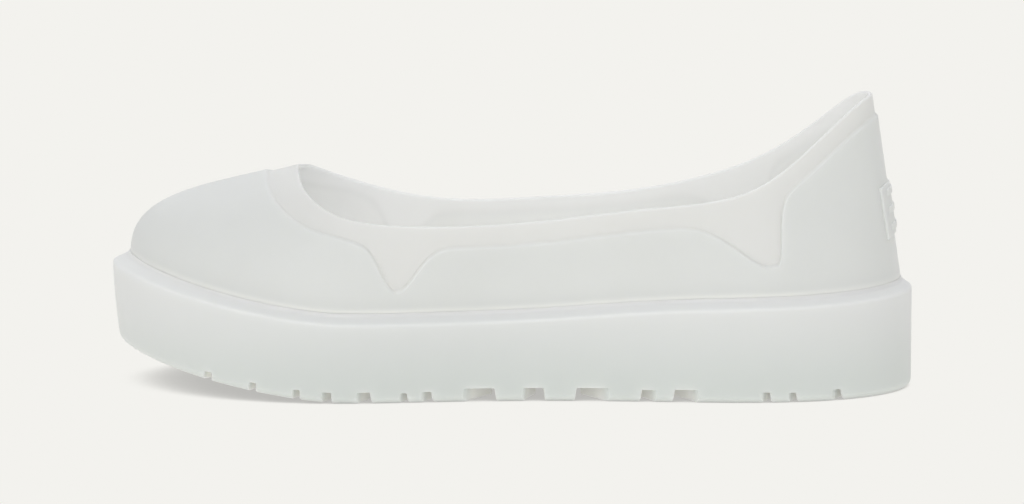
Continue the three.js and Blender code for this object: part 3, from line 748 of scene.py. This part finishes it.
def groove_cutter(number, groove, edges):
    """The space of one groove, a zigzag that follows the toe spring, with round edges at the lugs' faces."""
    shift, y, flare = groove_line()
    x_line = groove["turn"] * shift
    width = groove["middle"] + flare * (groove["edge"] - groove["middle"])
    x = groove["along"] * LENGTH
    inner, outer = edges
    y_inner = np.interp(x + x_line, inner[:, 0], inner[:, 1])
    y_outer = np.interp(x + x_line, outer[:, 0], outer[:, 1])
    inside = np.minimum(y_inner - y, y - y_outer)
    opening = LUG_EDGE_ROUND * (1 - rounded(inside, LUG_EDGE_ROUND))
    heights = [-CUTTER_REACH, 0]
    spreads = [LUG_EDGE_ROUND, LUG_EDGE_ROUND]
    for turn in np.linspace(0, math.pi / 2, ROUND_ROWS)[1:]:
        heights.append(LUG_EDGE_ROUND * (1 - math.cos(turn)))
        spreads.append(LUG_EDGE_ROUND * (1 - math.sin(turn)))
    for turn in np.linspace(0, math.pi / 2, ROUND_ROWS):
        heights.append(groove["depth"] * LUG_DEPTH - GROOVE_FILLET * (1 - math.sin(turn)))
        spreads.append(-GROOVE_FILLET * (1 - math.cos(turn)))
    rings = []
    for height, spread in zip(heights, spreads):
        taper = -LUG_TAPER * max(height, 0) / LUG_DEPTH
        reach = np.maximum(width / 2 + taper + spread + opening, CUTTER_LEAST_HALF)
        heel_side = np.stack([x_line + reach, y, 0 * y + height], axis=1)
        toe_side = np.stack([x_line - reach, y, 0 * y + height], axis=1)
        rings.append(np.concatenate([heel_side, toe_side[::-1]]))
    points = np.concatenate(rings)
    slope_rise = spring_at(x - SLOPE_SPACING) - spring_at(x + SLOPE_SPACING)
    slope = math.atan2(slope_rise, 2 * SLOPE_SPACING)
    turned = points.copy()
    turned[:, 0] = x + points[:, 0] * math.cos(slope) + points[:, 2] * math.sin(slope)
    turned[:, 2] = spring_at(x) - points[:, 0] * math.sin(slope) + points[:, 2] * math.cos(slope)
    count = len(rings[0])
    steps = len(y)
    faces = []
    for k in range(len(rings) - 1):
        for i in range(count):
            following = (i + 1) % count
            low = k * count
            faces.append([low + i, low + following, low + count + following, low + count + i])
    top = (len(rings) - 1) * count
    for i in range(steps - 1):
        a, b = i, i + 1
        c, d = count - 2 - i, count - 1 - i
        faces.append([a, d, c, b])
        faces.append([top + a, top + b, top + c, top + d])
    # The grooves' faces get a painted glow, as light through the lugs, and inner scatter, growing inward
    glow_and_scatter = GROOVE_GLOW_AND_SCATTER * np.clip(inside / LUG_DEPTH, 0, 1)
    glow_and_scatter_ring = np.concatenate([glow_and_scatter, glow_and_scatter[::-1]])
    return mesh_object("groove_%d" % number, turned, faces, {"inside": np.tile(glow_and_scatter_ring, len(rings))})


def soften(piece):
    """Smooth shading with crisp edges only where faces meet sharply, and flat faces kept even."""
    piece.data.shade_smooth()
    piece.data.set_sharp_from_angle(angle=SHARP_ANGLE)
    even = piece.modifiers.new("even faces", "WEIGHTED_NORMAL")
    even.keep_sharp = True


def add_node(tree, kind, **values):
    """A shader node, with values for its sockets and its settings by name."""
    node = tree.nodes.new("ShaderNode" + kind)
    for key, value in values.items():
        if key in node.inputs.keys():
            node.inputs[key].default_value = value
        else:
            setattr(node, key, value)
    return node


def add_attribute(tree, name):
    return add_node(tree, "Attribute", attribute_name=name).outputs["Fac"]


def add_pattern(tree, place, pattern):
    noise = add_node(tree, "TexNoise", **dict(zip(PATTERN_COLUMNS, PATTERNS[pattern])))
    tree.links.new(place, noise.inputs["Vector"])
    return noise.outputs["Fac"]


def add_range(tree, value, low, high, **settings):
    """The value from 0 to 1 spread over low to high, where either end is a number or a node's result."""
    spread = add_node(tree, "MapRange", **settings)
    tree.links.new(value, spread.inputs["Value"])
    for socket, wanted in (("To Min", low), ("To Max", high)):
        if isinstance(wanted, bpy.types.NodeSocket):
            tree.links.new(wanted, spread.inputs[socket])
        else:
            spread.inputs[socket].default_value = wanted
    return spread.outputs["Result"]


def add_blend(tree, share, first, colour):
    """A blend from the first colour, or a node's result, to a colour."""
    blend = add_node(tree, "Mix", data_type="RGBA", B=(*colour, 1))
    tree.links.new(share, blend.inputs["Factor"])
    if isinstance(first, bpy.types.NodeSocket):
        tree.links.new(first, blend.inputs["A"])
    else:
        blend.inputs["A"].default_value = (*first, 1)
    return blend.outputs["Result"]


def add_math(tree, operation, *terms):
    """The result of an operation on its terms, which are numbers or nodes' results."""
    calculation = add_node(tree, "Math", operation=operation)
    for socket, term in zip(calculation.inputs, terms):
        if isinstance(term, bpy.types.NodeSocket):
            tree.links.new(term, socket)
        else:
            socket.default_value = term
    return calculation.outputs["Value"]


def add_bump(tree, place, pattern):
    strength, depth = BUMPS[pattern]
    bump = add_node(tree, "Bump", Strength=strength, Distance=depth)
    tree.links.new(add_pattern(tree, place, pattern), bump.inputs["Height"])
    return bump


def rubber_colour(tree, place, thick, thin, low):
    """Colour by height, darker near the floor as painted shade, by thickness, by painted glow and clouds."""
    height = add_node(tree, "SeparateXYZ")
    tree.links.new(place, height.inputs["Vector"])
    rise_settings = {"interpolation_type": "SMOOTHSTEP", "From Max": COLOUR_RISE}
    rise = add_range(tree, height.outputs["Z"], 0, 1, **rise_settings)
    body = add_blend(tree, rise, low, thick)
    walls = add_blend(tree, add_attribute(tree, "thin"), body, thin)
    # Painted glow: light that comes through the rubber inside, and painted light against the crease's shade
    narrow = add_math(tree, "POWER", add_attribute(tree, "crease"), CREASE_GLOW_FALL)
    glow_and_scatter = add_math(tree, "MULTIPLY_ADD", narrow, CREASE_GLOW, add_attribute(tree, "inside"))
    glowing = add_blend(tree, glow_and_scatter, walls, PAINTED_GLOW_COLOUR)
    clouds = add_pattern(tree, place, "clouds")
    # Painted shade along the panels' steps, inside the upper
    step_shade = add_math(tree, "MULTIPLY", add_attribute(tree, "step_shade"), PAINTED_STEP_SHADE)
    shade = add_math(tree, "SUBTRACT", add_range(tree, clouds, *CLOUD_TONES), step_shade)
    scaled = add_node(tree, "VectorMath", operation="SCALE")
    tree.links.new(glowing, scaled.inputs["Vector"])
    tree.links.new(shade, scaled.inputs["Scale"])
    return scaled.outputs["Vector"]


def rubber_surface(tree, place):
    """Fine grain of the mould over slow waves of the soft wall."""
    waves = add_bump(tree, place, "waves")
    grain = add_bump(tree, place, "grain")
    tree.links.new(waves.outputs["Normal"], grain.inputs["Normal"])
    return grain.outputs["Normal"]


def rubber(name, thick, thin, low, inner_scatter):
    """Milky rubber: cooler where it is thick, lighter and warmer where it is thin as painted light coming
    through, with a soft gloss.
    """
    material = bpy.data.materials.new(name)
    material.use_nodes = True
    tree = material.node_tree
    shader = tree.nodes["Principled BSDF"]
    for socket, value in RUBBER_SHADER.items():
        shader.inputs[socket].default_value = value
    place = add_node(tree, "TexCoord").outputs["Object"]
    in_wall = add_range(tree, add_attribute(tree, "inside"), OUTER_SCATTER, inner_scatter)
    scatter = add_range(tree, add_attribute(tree, "crease"), in_wall, CREASE_SCATTER)
    patches = add_pattern(tree, place, "patches")
    tree.links.new(rubber_colour(tree, place, thick, thin, low), shader.inputs["Base Color"])
    tree.links.new(scatter, shader.inputs["Subsurface Scale"])
    tree.links.new(add_range(tree, patches, *ROUGHNESS), shader.inputs["Roughness"])
    tree.links.new(rubber_surface(tree, place), shader.inputs["Normal"])
    return material


def dress(piece, node, material):
    """Puts the material on a piece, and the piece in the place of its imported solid."""
    soften(piece)
    piece.data.materials.clear()
    piece.data.materials.append(material)
    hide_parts(node)
    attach(piece, "root")


def studio_floor():
    """A floor that shows one even pale colour and darkens softly where the sole is near."""
    material = bpy.data.materials.new("studio_floor")
    material.use_nodes = True
    tree = material.node_tree
    tree.nodes.remove(tree.nodes["Principled BSDF"])
    blocked = add_node(tree, "AmbientOcclusion", samples=SHADE_SAMPLES, Distance=SHADE_DISTANCE)
    fade_settings = {"interpolation_type": "SMOOTHSTEP", "From Max": SHADE_OPEN}
    fade = add_range(tree, blocked.outputs["AO"], CONTACT_SHADE, 1, **fade_settings)
    glow = add_node(tree, "Emission", Color=(*FLOOR_COLOUR, 1))
    tree.links.new(fade, glow.inputs["Strength"])
    tree.links.new(glow.outputs["Emission"], tree.nodes["Material Output"].inputs["Surface"])
    corners = np.array([(-1, -1, 0), (1, -1, 0), (1, 1, 0), (-1, 1, 0)]) * FLOOR_REACH
    floor = mesh_object("studio_floor", corners / METRES, [[0, 1, 2, 3]])
    floor.data.materials.append(material)


def studio_sky():
    """Soft light from all round, weaker from beyond the toe and the heel."""
    world = bpy.data.worlds.new("studio_sky")
    world.use_nodes = True
    tree = world.node_tree
    background = tree.nodes["Background"]
    background.inputs["Color"].default_value = (*SKY_COLOUR, 1)
    towards = add_node(tree, "SeparateXYZ")
    tree.links.new(add_node(tree, "TexCoord").outputs["Generated"], towards.inputs["Vector"])
    sideways = add_math(tree, "ABSOLUTE", towards.outputs["X"])
    tree.links.new(add_range(tree, sideways, SKY_ABOVE, SKY_AT_ENDS), background.inputs["Strength"])
    bpy.context.scene.world = world


def studio_lamps():
    for name, lamp in zip(LAMPS, rows_of(LAMP_COLUMNS, LAMPS.values())):
        data = bpy.data.lights.new(name, "SUN")
        data.energy = lamp["strength"]
        data.angle = math.radians(lamp["spread"])
        light = bpy.data.objects.new(name, data)
        light.rotation_euler = [math.radians(degrees) for degrees in lamp["turn"]]
        light.visible_diffuse = lamp["diffuse"]
        bpy.context.scene.collection.objects.link(light)


def studio_camera():
    """A camera at the photograph's viewing angle."""
    data = bpy.data.cameras.new("camera")
    data.sensor_width = CAMERA_SENSOR
    data.lens = CAMERA_LENS
    camera = bpy.data.objects.new("camera", data)
    x, y, z = CAMERA_TARGET
    ahead = CAMERA_DISTANCE * math.cos(CAMERA_ELEVATION)
    above = CAMERA_DISTANCE * math.sin(CAMERA_ELEVATION)
    camera.location = (x, y - ahead, z + above)
    camera.rotation_euler = (math.pi / 2 - CAMERA_ELEVATION, 0, 0)
    bpy.context.scene.collection.objects.link(camera)
    bpy.context.scene.camera = camera


studio_floor()
studio_sky()
studio_lamps()
bpy.context.scene.view_settings.view_transform = "Standard"
studio_camera()

upper = upper_shell()
combine(upper, [heel_pad()], "UNION")
# The upper's thin strip is painted lighter and warmer, as light that comes through it
upper_rubber = rubber("upper_rubber", WALL_COLOUR, STRIP_GLOW_COLOUR, WALL_COLOUR, UPPER_INNER_SCATTER)
dress(upper, "upper", upper_rubber)

sole = sole_cup()
edges = side_edges()
grooves = rows_of(GROOVE_COLUMNS, GROOVES)
combine(sole, [groove_cutter(k, groove, edges) for k, groove in enumerate(grooves)], "DIFFERENCE")
# The sole's band is lighter than the upper's wall, partly as painted light, and darker towards the floor as
# painted shade
sole_rubber = rubber("sole_rubber", BAND_COLOUR, BAND_COLOUR, LOW_SHADE_COLOUR, SOLE_INNER_SCATTER)
dress(sole, "sole", sole_rubber)
